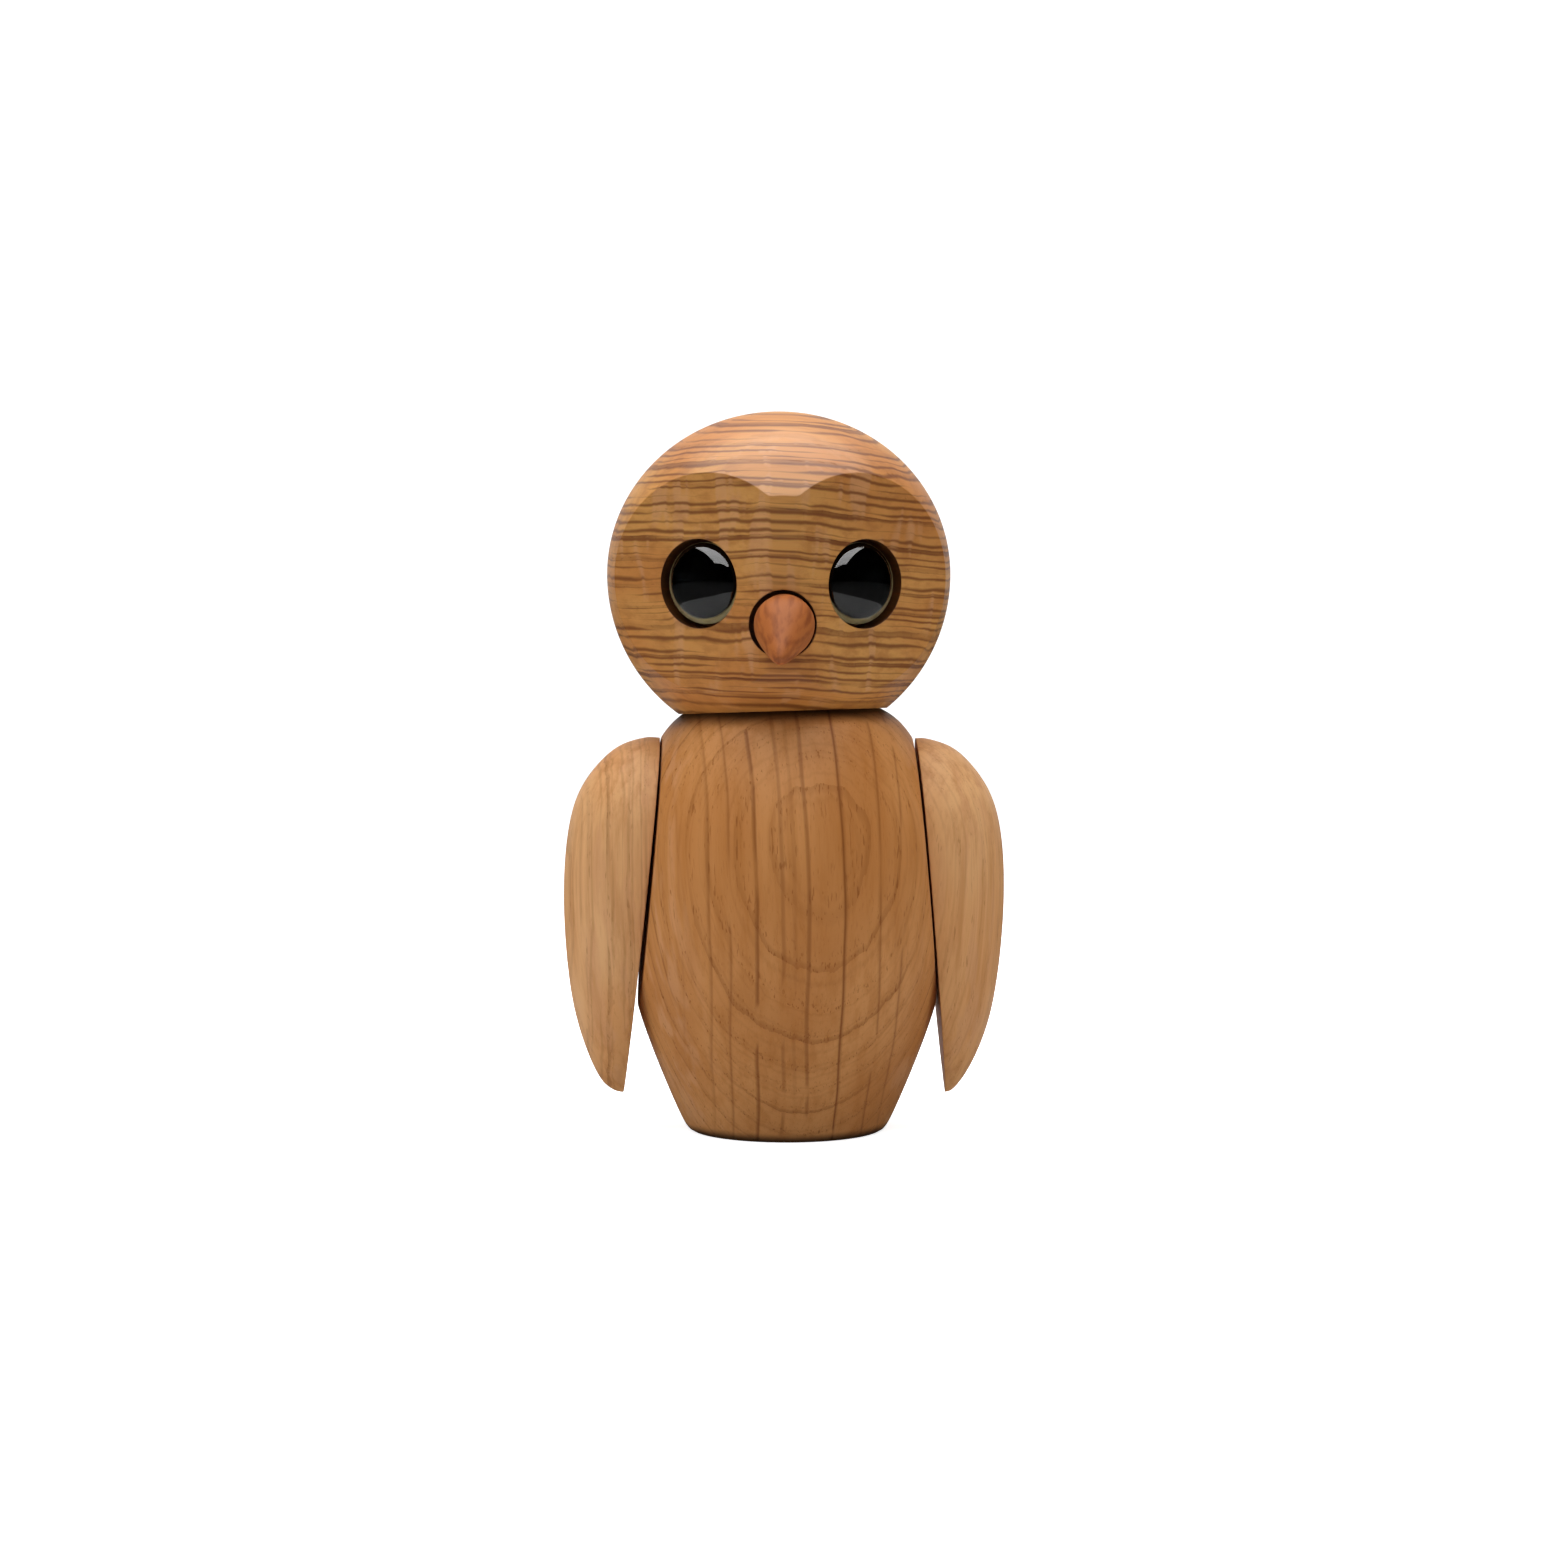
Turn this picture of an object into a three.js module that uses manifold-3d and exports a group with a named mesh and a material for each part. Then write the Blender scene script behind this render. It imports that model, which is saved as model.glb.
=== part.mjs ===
// Small owl in turned oak, in millimetres. +Z is up and the face looks along -Y.
// A turned barrel body with a flat on each side, a ball head with a two-plane face,
// two half-teardrop wings, two glass eyes in bored sockets and one turned beak.
// The origin is the centre of the underside.
import * as THREE from 'three';
import Module from 'manifold-3d';

const wasm = await Module();
wasm.setup();
const { Manifold, Mesh } = wasm;

// Driving dimensions
const fit = 0.35; // gap left between pieces that touch on the real owl
const bodyTopZ = 70.05; // height of the neck seam on the axis
const seamTilt = 1.7; // degrees the seam drops towards -X
const bodyKnots = [
  // [height, radius] up the turned barrel
  [0, 16.1], [0.8, 16.85], [10, 21.05], [21, 25], [30, 26.85], [42, 27.55],
  [52, 26.6], [60, 24.1], [66.9, 20.15], [69.3, 17.75], [70.9, 15],
];
const flatTopZ = 64.8; // where the side flats start
const flatTopX = 21.05; // half width across the flats at that height
const flatSplay = 0.0904; // outward lean of the flats going down
const leftToe = 5; // degrees the flat and wing at -X are turned to face forward

const headCentreZ = 92.8;
const headOffsetX = -1.3; // the head sits a little to one side of the body's axis
const headRadius = 28.7;
const headRise = 27.1; // centre to crown: the ball is slightly flattened on top
const headCutZ = bodyTopZ + fit; // flat underside of the head
const headYaw = 1.7; // degrees the face is turned about the neck
const faceSplay = 32.3; // degrees each face plane turns away from straight ahead
const faceTip = -4.9; // degrees the face planes look down
const faceDepth = 22.3; // head centre to face plane
const ridgeFlat = 2.35; // half width of the flat strip where the face planes would meet
const ridgeRound = 2.5; // rounding of the strip's two edges

const socketRadius = 7.2;
const socketDepth = 3.4;
const socketOut = 1.85; // socket centre along the face plane, away from the beak
const socketUp = -0.42;
const glassRadius = 6.6;
const glassIn = 0.3; // the glass sits a little toward the beak in its socket
const glassRecess = 1.6; // rim of the glass below the face plane
const glassEdge = 1.4; // straight edge under the dome
const glassDome = 3.3; // the dome is half an ellipse: steep at its rim and flatter on top

const beakCentre = [0.15, -24.9, -9.1]; // in the head's frame, from the ball's centre
const beakDroop = 39; // degrees the beak points down
const beakTurn = -5.5; // degrees the tip leans to the side
const beakKnots = [
  // [distance along the beak, radius]
  [-3.1, 3.73], [-1.1, 4.72], [1.3, 4.68], [4.4, 3.5], [9.35, 0.8], [9.6, 0],
];
const boreRadius = 5.4;
const boreDepth = 5.9;
const boreZ = -9; // centre of the hole the beak sits in

// [height, thickness] of each wing's half-turned form, measured out from its flat face
const wingLeftKnots = [
  [65.6, 0], [65.45, 2.1], [63.6, 6.5], [60.1, 9.9], [55.1, 12.6], [48.4, 13.75],
  [35, 13.05], [18.2, 9.25], [8, 4], [6.35, 1.7], [6.1, 0],
];
const wingRightKnots = [
  [65.5, 0], [65.35, 1.6], [63.5, 5.95], [60.1, 9.2], [55.1, 11.85], [48.4, 13],
  [35, 12.25], [18.2, 8.55], [9.6, 4.2], [6.3, 1.15], [6, 0],
];
const wingLeftX = 21.3; // inner face at the wing's top
const wingLeftSplay = 0.1035;
const wingRightX = 21.6;
const wingRightSplay = 0.085;

// How finely each form is faceted
const barrelSides = 56;
const ballSides = 56;
const ballStepsBelow = 11; // rings of the head from its underside to the equator
const ballStepsAbove = 14;
const wingSides = 36;
const glassSides = 36;
const domeSteps = 7;
const beakSides = 28;
const socketSides = 48;
const boreSides = 44;
const barrelSteps = 2; // rings between two knots of each turned profile
const wingSteps = 3;
const beakSteps = 2;
const clear = 10; // how far a cutter reaches past the surface it cuts
const blockSize = 200; // cutting block, larger than the owl

const rad = THREE.MathUtils.degToRad;

function toSolid(geometry) {
  // joins equal corners so the surface closes, then hands it over for cutting
  const position = geometry.getAttribute('position');
  const index = geometry.getIndex();
  const count = index ? index.count : position.count;
  const lookup = new Map();
  const corners = [];
  const tris = [];
  for (let i = 0; i < count; i += 3) {
    const tri = [];
    for (let k = 0; k < 3; k += 1) {
      const v = index ? index.getX(i + k) : i + k;
      const p = [position.getX(v), position.getY(v), position.getZ(v)];
      const key = p.map((c) => Math.round(c * 1e5)).join(',');
      if (!lookup.has(key)) {
        lookup.set(key, corners.length / 3);
        corners.push(p[0], p[1], p[2]);
      }
      tri.push(lookup.get(key));
    }
    if (tri[0] !== tri[1] && tri[1] !== tri[2] && tri[2] !== tri[0]) tris.push(...tri);
  }
  const mesh = new Mesh({
    numProp: 3,
    vertProperties: new Float32Array(corners),
    triVerts: new Uint32Array(tris),
  });
  return new Manifold(mesh);
}

function smooth(knots, steps) {
  // a smooth line through [height, radius] knots, as more such pairs
  const points = knots.map(([z, r]) => new THREE.Vector3(z, r, 0));
  const curve = new THREE.CatmullRomCurve3(points, false, 'centripetal');
  const line = curve.getPoints(steps * (knots.length - 1));
  return line.map((p) => [p.x, Math.max(p.y, 0)]);
}

function turned(profile, segments) {
  // solid of revolution about +Z from [height, radius] pairs
  const points = profile.map(([z, r]) => new THREE.Vector2(r, z));
  if (points[0].x > 0) points.unshift(new THREE.Vector2(0, points[0].y));
  if (points[points.length - 1].x > 0) points.push(new THREE.Vector2(0, points[points.length - 1].y));
  if (points[0].y > points[points.length - 1].y) points.reverse();
  const geometry = new THREE.LatheGeometry(points, segments);
  geometry.rotateX(Math.PI / 2);
  return geometry;
}

function aim(geometry, axis, at) {
  // turns +Z onto the axis and moves the origin to the point
  const turn = new THREE.Quaternion().setFromUnitVectors(new THREE.Vector3(0, 0, 1), axis);
  geometry.applyQuaternion(turn);
  geometry.translate(at.x, at.y, at.z);
  return geometry;
}

function block(axis, at) {
  // everything on the far side of a plane, as a large block
  const box = new THREE.BoxGeometry(blockSize, blockSize, blockSize);
  box.translate(0, 0, blockSize / 2);
  return toSolid(aim(box, axis, at));
}

function cylinderAlong(axis, at, radius, length, segments) {
  const tool = new THREE.CylinderGeometry(radius, radius, length, segments);
  tool.rotateX(Math.PI / 2);
  return toSolid(aim(tool, axis, at));
}

// Body
const seamUp = new THREE.Vector3(-Math.sin(rad(seamTilt)), 0, Math.cos(rad(seamTilt)));
let body = toSolid(turned(smooth(bodyKnots, barrelSteps), barrelSides));
body = body.subtract(block(seamUp, new THREE.Vector3(0, 0, bodyTopZ)));
const upAxis = new THREE.Vector3(0, 0, 1);
for (const side of [-1, 1]) {
  const outward = new THREE.Vector3(side, 0, flatSplay).normalize();
  if (side < 0) outward.applyAxisAngle(upAxis, rad(leftToe));
  body = body.subtract(block(outward, new THREE.Vector3(side * flatTopX, 0, flatTopZ)));
}

// Head, in its own frame about the ball's centre
const headProfile = [];
const cutDrop = headCentreZ - headCutZ;
const spare = 0.06; // radians of ball below the seam, cut away later
const lowest = Math.asin(cutDrop / headRadius) + spare;
for (let i = 0; i <= ballStepsBelow; i += 1) {
  const t = -lowest * (1 - i / ballStepsBelow);
  headProfile.push([headRadius * Math.sin(t), headRadius * Math.cos(t)]);
}
for (let i = 1; i <= ballStepsAbove; i += 1) {
  const t = (Math.PI / 2) * (i / ballStepsAbove);
  const top = i === ballStepsAbove;
  headProfile.push([headRise * Math.sin(t), top ? 0 : headRadius * Math.cos(t)]);
}
let head = toSolid(turned(headProfile, ballSides));

const eyes = {};
for (const side of [-1, 1]) {
  const normal = new THREE.Vector3(
    side * Math.sin(rad(faceSplay)) * Math.cos(rad(faceTip)),
    -Math.cos(rad(faceSplay)) * Math.cos(rad(faceTip)),
    Math.sin(rad(faceTip)),
  );
  const foot = normal.clone().multiplyScalar(faceDepth);
  head = head.subtract(block(normal, foot));
  const across = new THREE.Vector3(side * Math.cos(rad(faceSplay)), Math.sin(rad(faceSplay)), 0);
  const up = new THREE.Vector3().crossVectors(normal, across).multiplyScalar(side);
  const centre = foot.clone().addScaledVector(across, socketOut).addScaledVector(up, socketUp);
  eyes[side] = { normal, across, centre };
}
const ahead = eyes[-1].normal.clone().add(eyes[1].normal).normalize();
const halfAngle = ahead.angleTo(eyes[1].normal);
const stripDepth = faceDepth / Math.cos(halfAngle) - ridgeFlat * Math.tan(halfAngle);
head = head.subtract(block(ahead, ahead.clone().multiplyScalar(stripDepth)));
for (const side of [-1, 1]) {
  const edge = ahead.clone().multiplyScalar(stripDepth);
  edge.x += side * ridgeFlat;
  const normal = ahead.clone().multiplyScalar(Math.cos(halfAngle / 2));
  normal.x += side * Math.sin(halfAngle / 2);
  const trim = ridgeRound * (1 / Math.cos(halfAngle / 2) - 1);
  head = head.subtract(block(normal, edge.addScaledVector(normal, -trim)));
}
for (const side of [-1, 1]) {
  const { normal, centre } = eyes[side];
  const middle = centre.clone().addScaledVector(normal, (clear - socketDepth) / 2);
  const length = socketDepth + clear;
  head = head.subtract(cylinderAlong(normal, middle, socketRadius, length, socketSides));
}
const boreAxis = new THREE.Vector3(0, -1, 0);
const boreMiddle = new THREE.Vector3(0, beakCentre[1] + boreDepth - clear, boreZ);
head = head.subtract(cylinderAlong(boreAxis, boreMiddle, boreRadius, 2 * clear, boreSides));

// Eyes: one glass cabochon in each socket
const ease = 0.2; // small rounding round the glass's back
const eyeProfile = [[-glassEdge, glassRadius - ease], [-glassEdge + ease, glassRadius]];
for (let i = 0; i <= domeSteps; i += 1) {
  const t = (Math.PI / 2) * (i / domeSteps);
  eyeProfile.push([glassDome * Math.sin(t), i === domeSteps ? 0 : glassRadius * Math.cos(t)]);
}
function eyeSolid(side) {
  const { normal, across, centre } = eyes[side];
  const rim = centre.clone().addScaledVector(normal, -glassRecess).addScaledVector(across, -glassIn);
  return toSolid(aim(turned(eyeProfile, glassSides), normal, rim));
}

// Beak
const beakAxis = new THREE.Vector3(
  Math.sin(rad(beakTurn)),
  -Math.cos(rad(beakDroop)) * Math.cos(rad(beakTurn)),
  -Math.sin(rad(beakDroop)) * Math.cos(rad(beakTurn)),
);
const beakForm = turned(smooth(beakKnots, beakSteps), beakSides);
const beak = toSolid(aim(beakForm, beakAxis, new THREE.Vector3(...beakCentre)));

function seatHead(solid) {
  // from the head's frame to the owl's
  return solid.rotate([0, 0, headYaw]).translate([headOffsetX, 0, headCentreZ]);
}
const seamDown = seamUp.clone().negate();
const headSeated = seatHead(head).subtract(block(seamDown, new THREE.Vector3(0, 0, headCutZ)));

// Wings: a turned teardrop split down its length, flat side in
function wing(knots, side, topX, splay, toe) {
  const topZ = knots[0][0];
  const stretch = Math.sqrt(1 + splay * splay);
  const local = smooth(knots, wingSteps).map(([z, t]) => [(z - topZ) * stretch, t / stretch]);
  let solid = toSolid(turned(local, wingSides));
  solid = solid.subtract(block(new THREE.Vector3(-side, 0, 0), new THREE.Vector3(0, 0, 0)));
  const lean = THREE.MathUtils.radToDeg(Math.atan(splay));
  return solid.rotate([0, -side * lean, 0]).rotate([0, 0, toe]).translate([side * topX, 0, topZ]);
}

// Finished group
const glass = () => new THREE.MeshStandardMaterial({ color: 0x0a0b0a, roughness: 0.05, metalness: 0 });
const oak = (color) => new THREE.MeshStandardMaterial({ color, roughness: 0.5, metalness: 0 });
const group = new THREE.Group();
function add(name, solid, material) {
  const mesh = solid.getMesh();
  const geometry = new THREE.BufferGeometry();
  geometry.setAttribute('position', new THREE.BufferAttribute(new Float32Array(mesh.vertProperties), 3));
  geometry.setIndex(new THREE.BufferAttribute(new Uint32Array(mesh.triVerts), 1));
  geometry.computeVertexNormals();
  const node = new THREE.Mesh(geometry, material);
  node.name = name;
  group.add(node);
}
add('body', body, oak(0xa87245));
add('head', headSeated, oak(0xb27a48));
add('wing_left', wing(wingLeftKnots, -1, wingLeftX, wingLeftSplay, leftToe), oak(0xb98a58));
add('wing_right', wing(wingRightKnots, 1, wingRightX, wingRightSplay, 0), oak(0xbb8c5a));
add('eye_left', seatHead(eyeSolid(-1)), glass());
add('eye_right', seatHead(eyeSolid(1)), glass());
add('beak', seatHead(beak), oak(0xa5633c));

export default group;
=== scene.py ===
# Small turned oak owl: the looks of every piece, its light and its camera.
# The oak pieces are turned by one Geometry Nodes lathe and then cut as on the bench.

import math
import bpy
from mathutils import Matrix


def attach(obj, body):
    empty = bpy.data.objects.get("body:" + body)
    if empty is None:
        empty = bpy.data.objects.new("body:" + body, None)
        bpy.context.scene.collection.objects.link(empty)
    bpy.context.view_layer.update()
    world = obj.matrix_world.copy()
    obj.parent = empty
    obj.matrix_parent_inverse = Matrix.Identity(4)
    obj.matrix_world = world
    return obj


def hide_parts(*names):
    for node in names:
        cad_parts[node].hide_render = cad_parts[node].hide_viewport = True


bl_info = {
    "name": "Turned Oak Owl",
    "version": (1, 0, 0),
    "blender": (4, 5, 0),
    "location": "View3D > Sidebar > Oak Owl",
    "description": "Builds a small turned oak owl with glass eyes",
    "category": "Object",
}

from functools import partial

import bpy
import numpy as np
from bpy.props import FloatProperty, FloatVectorProperty, IntProperty, PointerProperty
from mathutils import Matrix, Vector

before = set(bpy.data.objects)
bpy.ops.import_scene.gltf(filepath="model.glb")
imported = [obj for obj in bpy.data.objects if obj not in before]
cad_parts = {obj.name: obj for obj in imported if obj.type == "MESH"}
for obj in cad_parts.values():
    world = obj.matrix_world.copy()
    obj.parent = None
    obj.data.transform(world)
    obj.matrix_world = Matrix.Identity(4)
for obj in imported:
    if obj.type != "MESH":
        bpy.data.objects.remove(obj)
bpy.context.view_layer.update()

# Lengths are in millimetres and angles in degrees, unless a comment says otherwise.
# The owl faces -Y. Side -1 is at the picture's left, and side 1 at its right.
MM = 0.001
WELD = 0.0001

# Heights and radii that the turned body's line passes through
BODY_KNOTS = [
    (0, 16.1), (0.8, 16.85), (10, 21.05), (21, 25), (30, 26.85), (42, 27.55),
    (52, 26.6), (60, 24.1), (66.9, 20.15), (69.3, 17.75), (70.9, 15),
]
# The neck seam's height at the middle, and its drop to the left
BODY_TOP = 70.05
SEAM_TILT = 1.7
# A point on each side flat, the flat's slope, and the left flat's turn to face forward
FLAT_TOP = (21.05, 64.8)
FLAT_SPLAY = 0.0904
LEFT_TOE = 5.0

HEAD_CENTRE = (-1.3, 0.0, 92.8)
HEAD_RADIUS = 28.68
HEAD_RISE = 27.1
HEAD_YAW = 1.7
# How far the head's blank runs on below the seam before it is cut there
HEAD_SPARE = 1.5

# The flats of the face: how far they lean aside and tip, and their distance from the head's middle
FACE_SPLAY = 32.3
FACE_TIP = -4.9
FACE_DEPTH = 22.3
RIDGE_FLAT = 2.35
RIDGE_ROUND = 2.5

# Each socket's middle is out and up from the middle of its flat, and the glass sits toward the beak
SOCKET_RADIUS = 7.2
SOCKET_OUT = 1.85
SOCKET_UP = -0.42
SOCKET_DEPTH = 3.4
GLASS_RADIUS = 6.6
GLASS_IN = 0.3
GLASS_RECESS = 1.6
GLASS_DOME = 3.3
# Depths below the glass's rim: its flat back, the paint's face just inside it, and the paint's back
GLASS_BACK = 0.5
PAINT_FACE = 0.45
GLASS_EDGE = 1.4
GLASS_BEVEL = 0.1
PAINT_BEVEL = 0.15
PUPIL_RISE = 0.4

# Beak and its hole, in the head's own frame
BEAK_CENTRE = (0.15, -24.9, -9.1)
BEAK_DROOP = 39.0
BEAK_TURN = -5.5
BEAK_KNOTS = [(-3.1, 3.73), (-1.1, 4.72), (1.3, 4.68), (4.4, 3.5), (9.35, 0.8), (9.6, 0)]
BORE_RADIUS = 5.4
BORE_DEPTH = 5.9
BORE_HEIGHT = -9.0

# How far the drills stand out, from a socket's mouth and from the foot of the beak's hole
SOCKET_DRILL = 10.0
BORE_DRILL = 20.0
# The greatest cosine between a hole's axis and its wall's faces, and slack at its foot and side
WALL_LEAN = 0.3
FLOOR_SLACK = 0.2
WALL_SLACK = 0.05

# Heights and thicknesses of the wings, out from their flat faces
WING_KNOTS = {
    -1: [(65.6, 0), (65.45, 2.1), (63.6, 6.5), (60.1, 9.9), (55.1, 12.58), (48.4, 13.69),
         (35, 12.97), (18.2, 9.25), (8, 4), (6.35, 1.7), (6.1, 0)],
    1: [(65.5, 0), (65.35, 1.6), (63.5, 5.95), (60.1, 9.2), (55.1, 11.85), (48.4, 13),
        (35, 12.25), (18.2, 8.55), (9.6, 4.2), (6.3, 1.15), (6, 0)],
}
# How far out the top of each wing's flat face is, and the face's slope
WING_SEAT = {-1: (21.3, 0.1035), 1: (21.6, 0.085)}

# Rays seen on the chest, from the middle, with their strength, and the bearing of that middle
# from the pith, in radians
BODY_RAYS = [
    (-18.1, 0.5), (-12.9, 0.6), (-9.4, 0.5), (-5.1, 1.0), (-0.8, 0.6), (1.1, 0.3), (3.3, 0.8),
    (9.1, 1.0), (15.9, 0.6), (20.0, 0.5),
]
BODY_RAY_FROM = -1.416
# The chest's distance from the pith, half a ray's width, the list's whole span, a ray's wander
BODY_RAY_RADIUS = 150.0
RAY_WIDTH = 0.38
RAY_SPAN = 80.0
RAY_WANDER = 1.6
# Darkness across one growth ring, which begins with its porous early wood
RING_KEYS = [(0.0, 0.8), (0.03, 1.0), (0.11, 0.75), (0.18, 0.12), (0.9, 0.0), (0.97, 0.3)]
# How unevenly the edge of the painted end shade runs, and how far the head's fibre falls to the
# right
END_SHADE_RAGGED = 2.0
HEAD_FIBRE_FALL = 2.2

# The camera stood level with the neck, straight in front. The square frame takes in this width at
# the owl, and its middle is this far above the camera
CAMERA_AT = (-1.09, -450.0, 70.2)
FRAME_WIDTH = 261.5
FRAME_CENTRE_RISE = -11.73
SENSOR = 36.0
CLIP_START = 10.0

# The lights' sizes and places, in metres
SOFTBOX = (1.3, 1.2)
SOFTBOX_AT = (-0.04, -0.14, 1.0)
SKIRT = (1.3, 0.72)
SKIRT_AT = (-0.04, -1.1, 1.0)
REFLECTOR = (0.8, 0.25)
REFLECTOR_AT = (1.1, -0.2, 0.14)
REFLECTOR_AIM = (0.0, 0.0, 0.06)
REFLECTOR_TINT = (0.88, 1.0, 1.15)
FLOOR_RADIUS = 2.9
SURROUND_RADIUS = 3.0
# How much light the paper gives back, by the distance in metres from the owl's middle
PAPER_KEYS = [(0.035, 0.32), (0.07, 0.62), (0.21, 0.62), (0.22, 0.08)]

MATH = "ShaderNodeMath"
VECTOR = "ShaderNodeVectorMath"
RANGE = "ShaderNodeMapRange"
NOISE = "ShaderNodeTexNoise"
MIX = "ShaderNodeMix"


def linear(code):
    """An sRGB hex colour as linear RGBA."""
    channels = [int(code[i:i + 2], 16) / 255 for i in (1, 3, 5)]
    bright = [c / 12.92 if c <= 0.04045 else ((c + 0.055) / 1.055) ** 2.4 for c in channels]
    return (*bright, 1.0)


def add_node(tree, kind, inputs=(), out=0, **settings):
    """Adds a node with its settings, fills its inputs and gives the named output, if it has any.

    The inputs are a list in the node's order or a dictionary. A socket among them is linked.
    """
    node = tree.nodes.new(kind)
    for name, value in settings.items():
        setattr(node, name, value)
    for key, item in inputs.items() if isinstance(inputs, dict) else enumerate(inputs):
        if isinstance(item, bpy.types.NodeSocket):
            tree.links.new(item, node.inputs[key])
        else:
            node.inputs[key].default_value = item
    return node.outputs[out] if node.outputs else None


def place_keys(ramp, keys):
    """Sets the stops of the colour ramp behind an output from (position, grey or colour) pairs."""
    stops = ramp.node.color_ramp.elements
    while len(stops) < len(keys):
        stops.new(0.5)
    for stop, (position, tone) in zip(stops, keys):
        stop.position = position
        stop.color = (tone, tone, tone, 1.0) if isinstance(tone, float) else tone


# Turning and cutting

def smooth_profile(points, steps=10):
    """Points along a smooth line through the given (height, radius) pairs, in metres.

    The line is a centripetal Catmull-Rom curve, closed onto the axis at both ends.
    """
    knots = np.array(points, float)
    ends = np.vstack([2 * knots[0] - knots[1], knots, 2 * knots[-1] - knots[-2]])
    gaps = np.maximum(np.linalg.norm(np.diff(ends, axis=0), axis=1), 1e-6) ** 0.5
    line = []
    for i in range(1, len(ends) - 2):
        p0, p1, p2, p3 = ends[i - 1:i + 3]
        t0, t1, t2 = 0.0, gaps[i - 1], gaps[i - 1] + gaps[i]
        t3 = t2 + gaps[i + 1]
        for t in np.linspace(t1, t2, steps, endpoint=False):
            a1 = (t1 - t) / (t1 - t0) * p0 + (t - t0) / (t1 - t0) * p1
            a2 = (t2 - t) / (t2 - t1) * p1 + (t - t1) / (t2 - t1) * p2
            a3 = (t3 - t) / (t3 - t2) * p2 + (t - t2) / (t3 - t2) * p3
            b1 = (t2 - t) / (t2 - t0) * a1 + (t - t0) / (t2 - t0) * a2
            b2 = (t3 - t) / (t3 - t1) * a2 + (t - t1) / (t3 - t1) * a3
            line.append((t2 - t) / (t2 - t1) * b1 + (t - t1) / (t2 - t1) * b2)
    line.append(knots[-1])
    line = np.array(line)
    line[:, 1] = np.maximum(line[:, 1], 0)
    if line[0, 1] > 0:
        line = np.vstack([[line[0, 0], 0], line])
    if line[-1, 1] > 0:
        line = np.vstack([line, [line[-1, 0], 0]])
    if line[0, 0] > line[-1, 0]:
        line = line[::-1]
    return line * MM


def arc(rise, reach, start, end, steps):
    """(height, radius) pairs along an ellipse, from one angle above the horizontal to another."""
    angles = [start * (1 - i / steps) + end * i / steps for i in range(steps + 1)]
    return [(rise * math.sin(angle), reach * math.cos(angle)) for angle in angles]


def lathe_group():
    """The Geometry Nodes lathe: turns a profile curve about Z into one closed blank."""
    name = "Turning lathe"
    if name in bpy.data.node_groups:
        return bpy.data.node_groups[name]
    tree = bpy.data.node_groups.new(name, "GeometryNodeTree")
    for socket, kind in (("Geometry", "Geometry"), ("Profile", "Object"), ("Sides", "Int"),
                         ("Rings", "Int"), ("Weld", "Float"), ("Finish", "Material")):
        tree.interface.new_socket(socket, in_out="INPUT", socket_type="NodeSocket" + kind)
    tree.interface.new_socket("Geometry", in_out="OUTPUT", socket_type="NodeSocketGeometry")
    add = partial(add_node, tree)
    given = add("NodeGroupInput").node.outputs
    drum = add("GeometryNodeMeshCylinder", {"Vertices": given["Sides"], "Radius": 1.0, "Depth": 1.0,
                                            "Side Segments": given["Rings"]},
               fill_type="TRIANGLE_FAN")
    parts = add("ShaderNodeSeparateXYZ", [add("GeometryNodeInputPosition")]).node.outputs
    along = add(MATH, [parts["Z"], 0.5], operation="ADD")
    drawn = add("GeometryNodeObjectInfo", {"Object": given["Profile"]}, out="Geometry")
    sample = add("GeometryNodeSampleCurve", {"Curves": drawn, "Factor": along}, out="Position",
                 mode="FACTOR", use_all_curves=True)
    shape = add("ShaderNodeSeparateXYZ", [sample]).node.outputs
    across = [add(MATH, [parts[axis], shape["X"]], operation="MULTIPLY") for axis in "XY"]
    target = add("ShaderNodeCombineXYZ", [*across, shape["Z"]])
    blank = add("GeometryNodeSetPosition", {"Geometry": drum, "Position": target})
    blank = add("GeometryNodeMergeByDistance", {"Geometry": blank, "Distance": given["Weld"]})
    blank = add("GeometryNodeSetShadeSmooth", {"Geometry": blank})
    blank = add("GeometryNodeRealizeInstances", {"Geometry": blank})
    blank = add("GeometryNodeSetMaterial", {"Geometry": blank, "Material": given["Finish"]})
    add("NodeGroupOutput", {"Geometry": blank})
    return tree


def turn(name, profile, sides, rings, finish):
    """A turned blank as a plain mesh object, standing on the Z axis."""
    curve = bpy.data.curves.new(name + "_profile", "CURVE")
    curve.dimensions = "3D"
    spline = curve.splines.new("POLY")
    spline.points.add(len(profile) - 1)
    for point, (height, radius) in zip(spline.points, profile):
        point.co = (radius, 0, height, 1)
    drawn = bpy.data.objects.new(name + "_profile", curve)
    blank = bpy.data.objects.new(name, bpy.data.meshes.new(name))
    for item in (drawn, blank):
        bpy.context.scene.collection.objects.link(item)
    lathe = blank.modifiers.new("Lathe", "NODES")
    lathe.node_group = lathe_group()
    given = {item.name: item.identifier for item in lathe.node_group.interface.items_tree
             if item.in_out == "INPUT"}
    for socket, value in (("Profile", drawn), ("Sides", sides), ("Rings", rings),
                          ("Weld", WELD * MM), ("Finish", finish)):
        lathe[given[socket]] = value
    settle(blank)
    bpy.data.objects.remove(drawn)
    return blank


def settle(piece):
    """Turns a piece and its modifiers into a plain mesh."""
    bpy.context.view_layer.update()
    seen = piece.evaluated_get(bpy.context.evaluated_depsgraph_get())
    mesh = bpy.data.meshes.new_from_object(seen)
    piece.modifiers.clear()
    piece.data = mesh
    mesh.name = piece.name


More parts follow.
